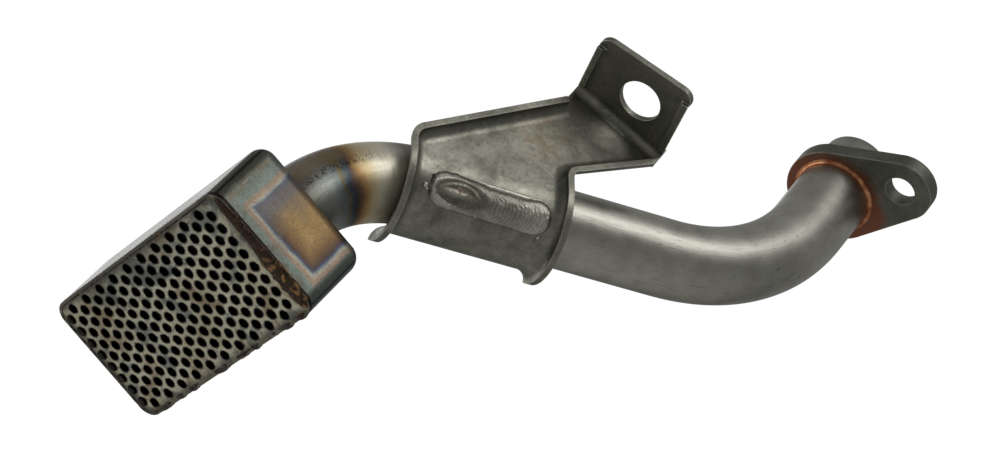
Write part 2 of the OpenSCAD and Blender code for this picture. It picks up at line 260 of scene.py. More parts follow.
    def attribute(self, name):
        """A mark that the piece's points carry."""
        return self.node("ShaderNodeAttribute", attribute_name=name).outputs["Fac"]

    def edges(self, radius):
        """Near 1 on a convex or concave edge, and 0 on open faces."""
        flat = self.node("ShaderNodeNewGeometry")
        facing = self.vector("DOT_PRODUCT", self.rounded_normal(radius), flat.outputs["Normal"])
        return self.fade(facing, EDGE_BEGINS, EDGE_FULL)

    def bump(self, height, distance, normal=None):
        """A normal roughened by a height, which stands for a distance in millimetres."""
        made = self.node("ShaderNodeBump")
        made.inputs["Distance"].default_value = distance * MM
        self.put(made.inputs["Height"], height)
        if normal is not None:
            self.put(made.inputs["Normal"], normal)
        return made.outputs["Normal"]

    def rounded_normal(self, radius):
        """A normal that shows edges as if they were rounded to a radius in millimetres."""
        made = self.node("ShaderNodeBevel", samples=BEVEL_SAMPLES)
        made.inputs["Radius"].default_value = radius * MM
        return made.outputs["Normal"]


def srgb(*levels):
    """A colour read on screen, 0 to 255, as the linear value that shaders take."""
    shares = [level / 255 for level in levels]
    return tuple(c / 12.92 if c < 0.0404 else ((c + 0.055) / 1.055) ** 2.4 for c in shares)


def box_frame(n):
    """Place in the strainer's frame: x from its near end, y across, z over its floor."""
    moved = n.vector("SUBTRACT", n.at, (INLET_X, 0, FLOOR_Z))
    return n.vector("ADD", n.turned(moved, -BOX_TURN), (INLET_SET, 0, 0))


# Looks along the tube, in millimetres from the flange's seat: where each begins, is full, wanes and ends
SPECKLED = (20, 40, 80, 110)
BRUSHED = (146, 158, 176, 184)
SCUFFED = (156, 186, 194, 201)
BROWNED = (172, 180, 192, 203)
SCRATCHED = (180, 186, 198, 204)
# Looks round the tube: the dark scuff line, partly a scuff and partly painted shade along the edge of the
# tube's reflection, the brown smear by it, and the painted shade under the bracket's lip
SCUFF_TURN = math.radians(278)
BROWN_TURN = SCUFF_TURN + 0.42
LIP_SHADE = tuple(math.radians(turn) for turn in (120, 170, 300, 335))
# Where that painted shade begins along the tube, and where it ends, which wanders as the heat tint does
LIP_BEGINS = (140, 150)
LIP_ENDS = (167, 160)
# Heat tint beside the strainer, by the distance from the flange's seat
HEAT_TINTS = (
    (160, srgb(255, 255, 255)), (170, srgb(252, 248, 236)), (174.0, srgb(236, 218, 182)),
    (177.4, srgb(188, 152, 108)), (179.6, srgb(116, 96, 90)), (181.0, srgb(90, 100, 120)),
    (182.2, srgb(126, 136, 138)), (183.2, srgb(160, 142, 108)), (184.6, srgb(158, 172, 180)),
    (189, srgb(198, 204, 210)), (195, srgb(170, 172, 170)), (200, srgb(124, 122, 114)))


def tube_steel():
    """Satin bare steel with drawing lines along the tube and heat tint beside the strainer."""
    n = Nodes("tube_steel")
    lay = n.node("ShaderNodeUVMap", uv_map="wrap").outputs["UV"]
    along, around, _ = n.split(lay)
    turn = n.math("DIVIDE", around, TUBE_R)
    cloud = n.noise(n.at, 0.09, 5, 0.6)
    grain = n.noise(n.stretched(lay, 0.12, 2.2, 1), 1.0, 5, 0.6)
    fine = n.noise(n.at, 3.2, 3, 0.6)
    base = n.ramp(cloud, 0.3, 0.7, [
        (0.3, srgb(152, 150, 140)), (0.5, srgb(170, 168, 158)), (0.7, srgb(184, 183, 174))])
    base = n.stained(base, n.fade(grain, 0.5, 0.72), 0.35, srgb(120, 117, 108))
    # Brushed band: rougher metal, its pale base partly a painted highlight
    brushed = n.within(along, BRUSHED)
    base = n.stained(base, brushed, 0.9, srgb(232, 229, 217))
    ground = n.noise(n.stretched(lay, 2.4, 0.10, 1), 1.0, 4, 0.6)
    ground_lines = n.times(brushed, n.fade(ground, 0.5, 0.72))
    base = n.stained(base, ground_lines, 0.4, srgb(140, 137, 128))
    heat = n.plus(along, n.spread(n.noise(n.at, 0.12, 3, 0.5), -1.4, 1.4))
    colour = n.mix(1.0, base, n.ramp(heat, 160, 204, HEAT_TINTS), "MULTIPLY")
    # Painted shade under the bracket's lip, over part of the way round the tube
    by_lip = n.times(n.fade(along, *LIP_BEGINS), n.fade(heat, *LIP_ENDS))
    by_lip = n.times(by_lip, n.within(turn, LIP_SHADE))
    colour = n.stained(colour, by_lip, 0.75, srgb(74, 72, 63))
    scratch = n.noise(n.stretched(n.turned(lay, 0.5), 0.25, 2.4, 1), 1.0, 4, 0.6)
    scratched = n.times(n.fade(scratch, 0.58, 0.70), n.within(along, SCRATCHED))
    colour = n.stained(colour, scratched, 0.5, srgb(176, 176, 172))
    # A dark line, rougher than the rest: partly a scuff, partly painted shade where the tube's reflection
    # turns dark
    scuff_line = n.math("ABSOLUTE", n.minus(around, SCUFF_TURN * TUBE_R))
    scuff = n.times(n.fade(scuff_line, 2.2, 0.4), n.fade(n.noise(n.at, 1.3, 4, 0.7), 0.48, 0.60))
    scuff = n.times(scuff, n.within(along, SCUFFED))
    colour = n.stained(colour, scuff, 0.8, srgb(46, 42, 38))
    brown_line = n.math("ABSOLUTE", n.minus(around, BROWN_TURN * TUBE_R))
    brown = n.times(n.fade(brown_line, 5.5, 1.0), n.within(along, BROWNED))
    colour = n.stained(colour, brown, 0.5, srgb(156, 130, 88))
    speck = n.fade(n.noise(n.stretched(lay, 0.55, 1.1, 1), 0.9, 3, 0.6), 0.62, 0.71)
    speck = n.times(speck, n.within(along, SPECKLED))
    colour = n.stained(colour, speck, 0.6, srgb(62, 58, 52))
    rough = n.plus(n.spread(cloud, 0.34, 0.42), n.times(n.fade(grain, 0.45, 0.75), 0.1))
    rough = n.plus(rough, n.times(brushed, 0.10))
    rough = n.plus(rough, n.times(scuff, 0.2))
    height = n.plus(n.times(grain, 0.5), n.times(fine, 0.5))
    return n.metal(colour, rough, n.bump(height, 0.05))


# The brown stain on the bracket's web: its middle in the part's frame, and its reach
WEB_STAIN_AT = (72, -13.8, 78)
WEB_STAIN_REACH = 11


def bracket_steel():
    """Mottled pickled sheet with bright edges, partly wear and partly painted highlight, a brown stain, and
    painted shade in the fold.
    """
    n = Nodes("bracket_steel")
    dark = srgb(100, 100, 90)
    mid = srgb(131, 130, 119)
    pale = srgb(150, 148, 136)
    bright = srgb(204, 202, 188)
    cloud = n.noise(n.at, 0.11, 6, 0.62, 0.4)
    spots = n.noise(n.at, 0.5, 5, 0.65)
    grain = n.noise(n.at, 2.6, 3, 0.6)
    pits = n.noise(n.at, 1.4, 4, 0.7)
    speckle = n.noise(n.at, 0.95, 3, 0.6)
    colour = n.ramp(cloud, 0.28, 0.72, [(0.30, dark), (0.5, mid), (0.68, pale)])
    colour = n.stained(colour, n.fade(spots, 0.56, 0.7), 0.4, dark)
    colour = n.stained(colour, n.fade(grain, 0.52, 0.72), 0.35, pale)
    colour = n.stained(colour, n.fade(pits, 0.58, 0.70), 0.45, dark)
    colour = n.stained(colour, n.fade(speckle, 0.50, 0.66), 0.3, dark)
    colour = n.stained(colour, n.fade(speckle, 0.44, 0.34), 0.07, bright)
    away = n.plus(n.vector("DISTANCE", n.at, WEB_STAIN_AT), n.spread(spots, -4, 4))
    blotch = n.fade(away, WEB_STAIN_REACH, WEB_STAIN_REACH * 0.3)
    blotch = n.times(blotch, n.fade(n.noise(n.at, 0.3, 4), 0.38, 0.6))
    colour = n.stained(colour, blotch, 0.55, srgb(118, 98, 76))
    fold_y, fold_z = TAB_FOLD
    _, y, z = n.split(n.at)
    # Painted shade in the tab's fold
    in_fold = n.times(n.fade(z, fold_z + 1.6, fold_z - 0.6), n.fade(y, fold_y - 1.2, fold_y + 0.4))
    colour = n.stained(colour, in_fold, 0.2, srgb(52, 52, 45))
    # Pale edges: partly wear, partly painted highlight on the rounded edges
    worn = n.times(n.edges(0.6), n.span(spots, 0.3, 0.6, 0.55, 1.0))
    colour = n.mix(worn, colour, bright)
    rough = n.plus(n.spread(cloud, 0.50, 0.38), n.times(n.fade(spots, 0.5, 0.75), 0.1))
    height = n.plus(n.times(spots, 0.6), n.times(speckle, 0.4))
    return n.metal(colour, rough, n.bump(height, 0.08, n.rounded_normal(0.4)))


# Tint colours of the strainer's end face, by their distance in from its screen edge and sides
END_TINTS = (
    (0.2, srgb(96, 101, 94)), (1.8, srgb(100, 110, 103)), (3.6, srgb(104, 116, 110)),
    (4.4, srgb(128, 114, 100)), (5.0, srgb(134, 116, 98)), (5.7, srgb(142, 138, 126)),
    (6.2, srgb(116, 122, 122)), (6.7, srgb(66, 74, 94)), (7.4, srgb(74, 62, 60)),
    (9.2, srgb(104, 82, 58)), (13.0, srgb(136, 112, 76)))
# How far in from the side away from the lumpy seam these tints begin
END_SHIFT = 4.0
# How far down from the screen the rust along the box's edge goes
EDGE_RUST = 4.0


def box_steel():
    """Heat-tinted sheet: nested tint lines on the end face, plain grey elsewhere, and painted shade inside.
    """
    n = Nodes("box_steel")
    at = box_frame(n)
    x, y, z = n.split(at)
    cloud = n.noise(n.at, 0.10, 5, 0.6, 0.3)
    spots = n.noise(n.at, 0.45, 5, 0.65)
    grain = n.noise(n.at, 2.2, 4, 0.65)
    streak = n.noise(n.stretched(at, 1.0, 0.06, 0.5), 0.9, 4, 0.6)
    plain = n.ramp(cloud, 0.3, 0.7, [
        (0.3, srgb(138, 140, 138)), (0.5, srgb(164, 166, 162)), (0.7, srgb(182, 182, 176))])
    wander = n.spread(n.noise(n.at, 0.10, 4, 0.5), -0.55, 0.55)
    front = n.minus(BOX_DEEP, z)
    right = n.minus(BOX_WID / 2, y)
    left = n.plus(y, BOX_WID / 2 - END_SHIFT)
    depth = n.plus(n.least(front, right, left), wander)
    tint = n.ramp(depth, 0, 14, END_TINTS)
    haze = n.times(n.fade(left, 15.5, 9.5), n.fade(depth, 5.8, 7.2))
    tint = n.stained(tint, haze, 0.75, srgb(92, 94, 96))
    tint = n.stained(tint, n.fade(grain, 0.42, 0.66), 0.5, srgb(74, 64, 54))
    tint = n.stained(tint, n.fade(cloud, 0.52, 0.68), 0.35, srgb(120, 116, 104))
    scratch = n.fade(n.noise(n.stretched(at, 1, 2.6, 0.16), 1.0, 4, 0.6), 0.55, 0.68)
    scratch = n.times(scratch, n.fade(left, 1.5, -1.5))
    tint = n.stained(tint, scratch, 0.75, srgb(156, 153, 126))
    sooty = n.times(n.fade(left, 4.0, -1.0), n.fade(spots, 0.42, 0.60))
    tint = n.stained(tint, sooty, 0.6, srgb(92, 80, 60))
    on_end = n.fade(x, 5.5, 2.2)
    colour = n.mix(on_end, plain, tint)
    edge_rust = n.plus(z, n.spread(spots, -2, 2))
    rust = n.times(n.fade(edge_rust, BOX_DEEP - EDGE_RUST, BOX_DEEP), n.fade(spots, 0.45, 0.62))
    colour = n.stained(colour, rust, 0.55, srgb(78, 62, 50))
    colour = n.stained(colour, n.fade(streak, 0.5, 0.72), 0.25, srgb(70, 70, 68))
    side = n.minus(BOX_WID / 2, n.math("ABSOLUTE", y))
    sunk = n.least(x, n.minus(BOX_LEN, x), side, z)
    # Painted shade on the box's inner walls
    inside = n.fade(sunk, 0.5 * BOX_WALL, 0.9 * BOX_WALL)
    colour = n.stained(colour, inside, 0.95, srgb(20, 20, 23))
    rough = n.spread(cloud, 0.36, 0.48)
    height = n.plus(n.times(spots, 0.5), n.times(streak, 0.5))
    return n.metal(colour, rough, n.bump(height, 0.05))


# A distance larger than any on the screen
NO_HOLE = 99.0


def hole_distance(n, x, y):
    """Distance from the middle of the nearest perforation, over the rows that the screen has."""
    nearest = NO_HOLE
    for row, shift, reach in ((0.0, 0.5, 4 * MESH_PITCH), (0.5, 0.0, 4.5 * MESH_PITCH)):
        u = n.minus(n.math("DIVIDE", n.minus(x, MESH_FIRST), 2 * MESH_ROW), row - 0.5)
        v = n.minus(n.math("DIVIDE", y, MESH_PITCH), shift - 0.5)
        across = n.times(n.minus(n.math("FRACT", u), 0.5), 2 * MESH_ROW)
        beside = n.times(n.minus(n.math("FRACT", v), 0.5), MESH_PITCH)
        outside = n.math("GREATER_THAN", n.math("ABSOLUTE", y), reach)
        near = n.plus(n.hypotenuse(across, beside), n.times(outside, NO_HOLE))
        nearest = n.least(near, nearest)
    before = n.math("LESS_THAN", x, MESH_FIRST - MESH_ROW / 2)
    return n.plus(nearest, n.times(before, NO_HOLE))


# Where along the screen its darker side begins, is full, wanes and ends
SHADED = (10, 26, 62, 80)


def screen_steel():
    """Perforated plate, khaki grey with brown and blue heat stains, a dark ring round each hole that is
    partly scorch and partly painted shade, and hole walls painted dark as shade.
    """
    n = Nodes("screen_steel")
    x, y, z = n.split(box_frame(n))
    cloud = n.noise(n.at, 0.07, 5, 0.6, 0.6)
    stain = n.noise(n.at, 0.09, 5, 0.62, 0.8)
    spots = n.noise(n.at, 0.8, 4, 0.6)
    colour = n.ramp(cloud, 0.3, 0.7, [
        (0.3, srgb(178, 174, 152)), (0.5, srgb(208, 204, 180)), (0.7, srgb(222, 219, 198))])
    colour = n.stained(colour, n.fade(stain, 0.52, 0.64), 0.6, srgb(126, 98, 72))
    colour = n.stained(colour, n.fade(stain, 0.49, 0.38), 0.7, srgb(84, 99, 105))
    shade = n.plus(y, n.spread(stain, -9, 9))
    band = n.times(n.fade(shade, -7.0, -16.0), n.within(x, SHADED))
    colour = n.stained(colour, band, 0.5, srgb(88, 94, 90))
    colour = n.stained(colour, n.fade(spots, 0.55, 0.72), 0.3, srgb(96, 86, 66))
    side = n.minus(BOX_WID / 2, n.math("ABSOLUTE", y))
    rim = n.least(side, n.minus(BOX_LEN, x), n.times(x, 0.6))
    rim = n.plus(rim, n.spread(spots, -0.7, 0.7))
    colour = n.stained(colour, n.fade(rim, 3.4, 1.2), 0.75, srgb(84, 78, 70))
    # Dark ring round each hole: partly scorch, partly painted shade of the burrs
    round_hole = n.plus(hole_distance(n, x, y), n.spread(spots, -0.25, 0.25))
    burnt = n.fade(round_hole, MESH_D / 2 + 0.48, MESH_D / 2 + 0.05)
    scorch = n.mix(n.fade(stain, 0.42, 0.58), srgb(40, 44, 46), srgb(62, 46, 34))
    colour = n.stained(colour, burnt, 0.9, scorch)
    # Painted shade on the hole walls
    inside = n.fade(z, BOX_DEEP - 0.02, BOX_DEEP - 0.2)
    colour = n.stained(colour, inside, 0.95, srgb(12, 12, 15))
    rough = n.spread(cloud, 0.50, 0.40)
    return n.metal(colour, rough, n.bump(spots, 0.05, n.rounded_normal(0.2)))


def weld_scale():
    """Dark scaled weld: plain dark steel along the seam, with gold on the bead's lumps that is partly tint
    and partly painted highlight.
    """
    n = Nodes("weld_metal")
    x, y, _ = n.split(box_frame(n))
    lump = n.attribute("lump")
    cloud = n.noise(n.at, 0.45, 5, 0.65, 0.4)
    fine = n.noise(n.at, 1.8, 4, 0.6)
    colour = n.ramp(cloud, 0.3, 0.7, [
        (0.34, srgb(44, 42, 42)), (0.5, srgb(70, 68, 66)), (0.66, srgb(100, 97, 92))])
    burnt = n.math("MAXIMUM", n.fade(x, 8.0, 5.5), n.times(n.fade(y, 13.0, 17.0), 0.3))
    scorch = n.ramp(fine, 0.3, 0.7, [
        (0.35, srgb(40, 32, 27)), (0.55, srgb(74, 56, 44)), (0.66, srgb(112, 82, 58))])
    colour = n.stained(colour, burnt, 0.8, scorch)
    # Gold on the lumps' tops: partly tint, partly painted highlight
    gilt = n.times(n.fade(lump, 0.25, 1.0), n.span(fine, 0.35, 0.6, 0.35, 0.9))
    colour = n.mix(gilt, colour, srgb(184, 142, 92))
    corners = n.times(n.fade(n.math("ABSOLUTE", y), 14.0, 19.0), n.fade(x, 74.0, 80.0))
    colour = n.stained(colour, n.times(corners, n.fade(fine, 0.42, 0.6)), 0.5, srgb(124, 84, 54))
    specks = n.times(n.fade(n.noise(n.at, 0.30, 3, 0.5), 0.66, 0.70), n.fade(fine, 0.45, 0.55))
    colour = n.stained(colour, specks, 0.8, srgb(188, 138, 80))
    rough = n.spread(fine, 0.34, 0.54)
    return n.metal(colour, rough, n.bump(fine, 0.22))


def slot_weld_metal():
    """Bright weld metal, dark at its toe and in the crater, with a rust dot, painted highlights on its rim,
    the crater's lip and the island, and painted shade in its ripples' valleys.
    """
    n = Nodes("slot_weld_metal")
    toe = n.attribute("toe")
    crater = n.attribute("crater")
    fine = n.noise(n.at, 1.5, 5, 0.65)
    cloud = n.noise(n.at, 0.22, 4, 0.6)
    colour = n.ramp(cloud, 0.3, 0.7, [
        (0.3, srgb(132, 129, 119)), (0.5, srgb(154, 151, 140)), (0.7, srgb(176, 173, 162))])
    colour = n.mix(n.times(crater, n.spread(fine, 0.35, 0.95)), colour, srgb(84, 81, 66))
    # Pale: painted highlight on the slot's rim, the crater's lip and the island, and paler metal at the
    # smooth end
    colour = n.mix(n.attribute("pale"), colour, srgb(212, 209, 196))
    # Painted shade in the ripples' valleys
    colour = n.stained(colour, n.attribute("ripple"), 0.42, srgb(88, 84, 74))
    colour = n.mix(n.times(toe, n.spread(fine, 0.4, 1.0)), colour, srgb(46, 43, 37))
    rusty = n.times(toe, n.fade(n.noise(n.at, 0.4, 3, 0.6), 0.56, 0.66))
    colour = n.stained(colour, rusty, 0.6, srgb(112, 70, 46))
    colour = n.mix(n.attribute("rust"), colour, srgb(112, 64, 38))
    rough = n.spread(fine, 0.34, 0.50)
    return n.metal(colour, rough, n.bump(fine, 0.14))


# How far the brown braze stain reaches from the tube, and where it runs out to the flange's edge
STAIN_REACH = 13.6
STAIN_RUNS = ((math.radians(29), 2.6), (math.radians(176), 3.4))


def flange_steel():
    """Matt grey flange with a reddish braze stain round the tube and pale edges, partly wear and partly
    painted highlight.
    """
    n = Nodes("flange_steel")
    x, y, z = n.split(n.at)
    cloud = n.noise(n.at, 0.16, 5, 0.62, 0.3)
    spots = n.noise(n.at, 0.7, 5, 0.65)
    grain = n.noise(n.at, 2.4, 3, 0.6)
    colour = n.ramp(cloud, 0.3, 0.7, [
        (0.3, srgb(92, 93, 84)), (0.5, srgb(106, 107, 97)), (0.7, srgb(124, 124, 113))])
    colour = n.stained(colour, n.fade(grain, 0.52, 0.7), 0.4, srgb(90, 91, 81))
    out = n.hypotenuse(x, y)
    reach = n.plus(out, n.spread(spots, -1.1, 1.1))
    for turn, further in STAIN_RUNS:
        across = n.plus(n.times(x, math.cos(turn)), n.times(y, math.sin(turn)))
        facing = n.math("MAXIMUM", n.math("DIVIDE", across, out), 0.0)
        reach = n.minus(reach, n.times(n.math("POWER", facing, 4.0), further))
    stain = n.fade(reach, STAIN_REACH + 2.4, STAIN_REACH - 1.4)
    stain = n.times(stain, n.fade(z, FLANGE_T - 1.2, FLANGE_T))
    stain = n.times(stain, n.spread(spots, 0.95, 0.6))
    colour = n.mix(stain, colour, srgb(134, 76, 52))
    # Pale edges: partly wear, partly painted highlight on the rounded edges
    worn = n.times(n.edges(0.8), n.span(spots, 0.3, 0.6, 0.6, 1.0))
    colour = n.mix(n.times(worn, n.minus(1.0, stain)), colour, srgb(172, 172, 160))
    rough = n.spread(spots, 0.44, 0.56)
    height = n.plus(n.times(spots, 0.4), n.times(grain, 0.6))
    return n.metal(colour, rough, n.bump(height, 0.10, n.rounded_normal(0.7)))


def copper_braze():
    """Thin copper fillet, bright with burnt brown patches."""
    n = Nodes("copper_braze")
    spots = n.noise(n.at, 0.35, 4, 0.55)
    colour = n.ramp(spots, 0.3, 0.7, [
        (0.30, srgb(118, 70, 46)), (0.5, srgb(176, 118, 82)), (0.68, srgb(206, 156, 118))])
    rough = n.spread(spots, 0.40, 0.28)
    return n.metal(colour, rough, n.bump(spots, 0.08))


def new_piece(name, bm, material):
    """A finished mesh as a piece of the part."""
    bmesh.ops.recalc_face_normals(bm, faces=bm.faces)
    mesh = bpy.data.meshes.new(name)
    bm.to_mesh(mesh)
    bm.free()
    for face in mesh.polygons:
        face.use_smooth = True
    mesh.materials.append(material)
    piece = bpy.data.objects.new(name, mesh)
    bpy.context.scene.collection.objects.link(piece)
    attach(piece, BODY)
    return piece


def bridge(bm, rings, closed):
    """Faces from each ring of points to the next, and from the last ring to the first where closed."""
    following = rings[1:] + rings[:1] if closed else rings[1:]
    for ring, ring2 in zip(rings, following):
        for k in range(len(ring)):
            k2 = (k + 1) % len(ring)
            bm.faces.new((ring[k], ring[k2], ring2[k2], ring2[k]))


def tube_place(s):
    """Centre of the tube and its turn from +Z, at a distance along it from the flange's seat."""
    if s < BEND1_Z:
        return Vector((0, 0, s)), 0.0
    if s < RUN_AT:
        turn = (s - BEND1_Z) / FLANGE_BEND_R
        x = FLANGE_BEND_R * (1 - math.cos(turn))
        return Vector((x, 0, BEND1_Z + FLANGE_BEND_R * math.sin(turn))), turn
    if s < BEND2_AT:
        past = s - RUN_AT
        return Vector((RUN_X + past * math.sin(BEND), 0, RUN_Z + past * math.cos(BEND))), BEND
    if s < INLET_AT:
        turn = BEND - (s - BEND2_AT) / INLET_BEND_R
        x = BEND2_X + INLET_BEND_R * (math.cos(turn) - math.cos(BEND))
        return Vector((x, 0, BEND2_Z + INLET_BEND_R * (math.sin(BEND) - math.sin(turn)))), turn
    return Vector((INLET_X, 0, INLET_Z + s - INLET_AT)), 0.0


def smooth_step(value, low, high):
    """Smoothly from 0 at low to 1 at high."""
    t = min(max((value - low) / (high - low), 0.0), 1.0)
    return t * t * (3 - 2 * t)


def share_within(value, window):
    """From 0 at the window's first place to 1 at its second, and from its third back to 0 at its last."""
    begin, full, wane, end = window
    return smooth_step(value, begin, full) * (1 - smooth_step(value, wane, end))


# Over what length the section eases into a bend, how flat it gets there, and how far the inside sinks
BEND_EASE = 8.0
BEND_FLAT = 0.10
BEND_SINK = 0.35


def bend_share(s, start, end):
    """How far a station is into a bend, 0 outside it and 1 well inside."""
    begin = start - BEND_EASE / 2
    return share_within(s, (begin, start + BEND_EASE, end - BEND_EASE, end + BEND_EASE / 2))


def tube_radius(s, angle, r):
    """The bent section: a little flat in each bend, and sunk on the inside of the second."""
    first = bend_share(s, BEND1_Z, RUN_AT)
    second = bend_share(s, BEND2_AT, INLET_AT)
    squeeze = BEND_FLAT * (first + second) * math.cos(angle) ** 2
    inside = BEND_SINK * second * max(0.0, -math.cos(angle)) ** 2
    return r - squeeze - inside


# Edges broken at the tube's mouth, in its bore there and at the spigot, and the step on to the spigot
MOUTH_BREAK = 0.25
BORE_BREAK = 0.2
SPIGOT_BREAK = 0.3
STEP_ROUND = 0.05


def build_tube(material):
    """The tube's outside and bore in one skin, mapped by the distance along it and round it."""
    sides = 112
    step = 1.1
    profile = [(-SPIGOT_LEN, SPIGOT_R - SPIGOT_CHAMFER), (SPIGOT_CHAMFER - SPIGOT_LEN, SPIGOT_R)]
    profile += [(-SPIGOT_LEN / 2, SPIGOT_R), (-STEP_ROUND, SPIGOT_R)]
    profile += [(0.0, TUBE_R - STEP_ROUND), (2 * STEP_ROUND, TUBE_R)]
    count = int(TUBE_END / step)
    profile += [(TUBE_END * i / count, TUBE_R) for i in range(1, count)]
    profile += [(TUBE_END - MOUTH_BREAK, TUBE_R), (TUBE_END, TUBE_R - MOUTH_BREAK)]
    inner = [(TUBE_END, BORE_R + BORE_BREAK), (TUBE_END - MOUTH_BREAK, BORE_R)]
    inner += [(TUBE_END * i / count, BORE_R) for i in range(count - 1, 0, -2)]
    inner += [(-SPIGOT_LEN + SPIGOT_BREAK, BORE_R), (-SPIGOT_LEN, BORE_R + SPIGOT_BREAK)]
    bm = bmesh.new()
    wrap = bm.loops.layers.uv.new("wrap")
    rings = []
    for s, r in profile + inner:
        centre, turn = tube_place(s)
        across = Vector((math.cos(turn), 0, -math.sin(turn)))
        ring = []
        for k in range(sides):
            angle = 2 * math.pi * k / sides
            reach = tube_radius(s, angle, r)
            place = centre + reach * (across * math.cos(angle) + Vector((0, math.sin(angle), 0)))
            ring.append(bm.verts.new(place * MM))
        rings.append((s, ring))
    for i, (s, ring) in enumerate(rings):
        s2, ring2 = rings[(i + 1) % len(rings)]
        for k in range(sides):
            k2 = (k + 1) % sides
            face = bm.faces.new((ring[k], ring[k2], ring2[k2], ring2[k]))
            turns = (k, k + 1, k + 1, k)
            for loop, at, turn in zip(face.loops, (s, s, s2, s2), turns):
                loop[wrap].uv = (at, 2 * math.pi * turn / sides * TUBE_R)
    piece = new_piece("tube_skin", bm, material)
    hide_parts("tube")


def on_saddle(station, angle, height):
    """A place over the saddle: along the run, round it from its top towards the tab, and out of it."""
    reach = SADDLE_OUT + height
    x = -reach * math.cos(angle)
    y = -reach * math.sin(angle)
    across = Vector((math.cos(BEND), 0, -math.sin(BEND)))
    along = Vector((math.sin(BEND), 0, math.cos(BEND)))
    return Vector((RUN_X, 0, RUN_Z)) + across * x + Vector((0, y, 0)) + along * station


# The weld in the saddle's slot, in millimetres: along the run from the flange side to the strainer side
WELD_MID = 57.9
WELD_HALF = 18.1
WELD_WIDE = 5.1
WELD_TURN = math.radians(55.5)
WELD_SLANT = math.radians(1.5)
WELD_HIGH = 1.15
WELD_UNDER = -0.5
WELD_SUNK = 0.03
WELD_GRAIN = 0.09
TOE_WIDE = 0.34
# Its ripples, which bow across it
RIPPLE_STEP = 1.15
RIPPLE_BOW = 7.5
RIPPLE_HIGH = 0.24
# Its crater, from the weld's middle: the crater's lip, a ring within, a long island and a dot of rust
CRATER_MID = 8.8
CRATER_HALF = 8.0
CRATER_WIDE = 3.7
CRATER_SINK = 0.40
LIP_HIGH = 0.15
RING_HIGH = 0.10
ISLAND_MID = CRATER_MID + 1.6
ISLAND_HALF = 3.6
ISLAND_WIDE = 0.7
ISLAND_HIGH = 0.30
RUST_MID = CRATER_MID + 0.6
RUST_ASIDE = 0.3
RUST_SPREAD = 0.20
# The slot's bare rim on the tab's side: its height, its least width, and how much wider it is, and where
RIM_HIGH = 0.42
RIM_LEAST = 0.45
RIM_WIDER = 1.15
RIM_WINDOW = (-11.0, 2.0, 9.0, 16.5)


def weld_rim(p):
    """Width of the slot's bare rim that shows beyond the weld, on the tab's side."""
    return RIM_LEAST + RIM_WIDER * share_within(-p, RIM_WINDOW)


def weld_height(p, q, wide):
    """Height of the weld over the saddle, then its dark toe, its crater, its pale marks (painted highlight on
    the rim, the crater's lip and the island, and paler metal towards the smooth end) and the painted shade in
    its ripples' valleys.
    """
    top = wide - min(weld_rim(p), 0.4 * wide)
    centre = (top - wide) / 2
    half = max((top + wide) / 2, 1e-6)
    share = abs(q - centre) / half
    toe = math.exp(-((share - 1.0) * half / TOE_WIDE) ** 2)
    if share >= 1:
        over = max((q - top) / max(wide - top, 1e-6), 0.0)
        ridge = max(math.sin(math.pi * min(over, 1.0)), 0.0)
        # The rim's pale mark is painted highlight on its ridge
        return RIM_HIGH * ridge ** 0.8, toe, 0.0, smooth_step(ridge, 0.2, 0.7), 0.0
    crown = WELD_HIGH * (1 - share ** 2.4) ** 0.7
    wobble = 0.8 * noise.noise(Vector((p * 0.35, q * 0.6, 3.0)))
    arc = p - (q - centre) ** 2 / RIPPLE_BOW + wobble
    before_crater = smooth_step(-p, -5.0, 0.0)
    ripple = 0.5 + 0.5 * math.cos(2 * math.pi * arc / RIPPLE_STEP)
    patchy = 0.65 + 0.7 * noise.noise(Vector((p * 0.45, q * 0.7, 21.0)))
    strength = before_crater * (0.35 + 0.65 * smooth_step(p, -16.0, -7.0)) * max(patchy, 0.15)
    crown += RIPPLE_HIGH * strength * (ripple ** 1.4 - 0.5) * (1 - share ** 4)
    # Painted shade in the valleys between the ripples
    valley = before_crater * (1 - ripple ** 0.8) * (1 - share ** 8) * min(max(patchy + 0.3, 0.2), 1.0)
    u = (p - CRATER_MID) / CRATER_HALF
    v = (q - centre) / CRATER_WIDE
    ring = math.sqrt(u * u + v * v)
    crater = 1 - smooth_step(ring, 0.78, 1.08)
    lip = math.exp(-((ring - 1.02) / 0.10) ** 2)
    inner = math.exp(-((ring - 0.62) / 0.09) ** 2)
    island = math.exp(-((p - ISLAND_MID) / ISLAND_HALF) ** 2 - ((q - centre + 0.1) / ISLAND_WIDE) ** 2)
    crown *= 1 - CRATER_SINK * crater
    crown += (LIP_HIGH * lip + RING_HIGH * inner) * (1 - share ** 6) + ISLAND_HIGH * island
    crown += WELD_GRAIN * noise.noise(Vector((p * 0.9, q * 0.9, 7.0))) * (1 - share ** 4)
    # Pale: painted highlight on the crater's lip and the island, and paler metal towards the smooth end
    pale = 0.55 * smooth_step(-p, 4.0, 15.0) + 0.6 * lip * smooth_step(p, CRATER_MID - 2, CRATER_MID + 5)
    return crown, toe, crater * (1 - 0.6 * island), min(pale + 0.5 * island, 1.0), valley


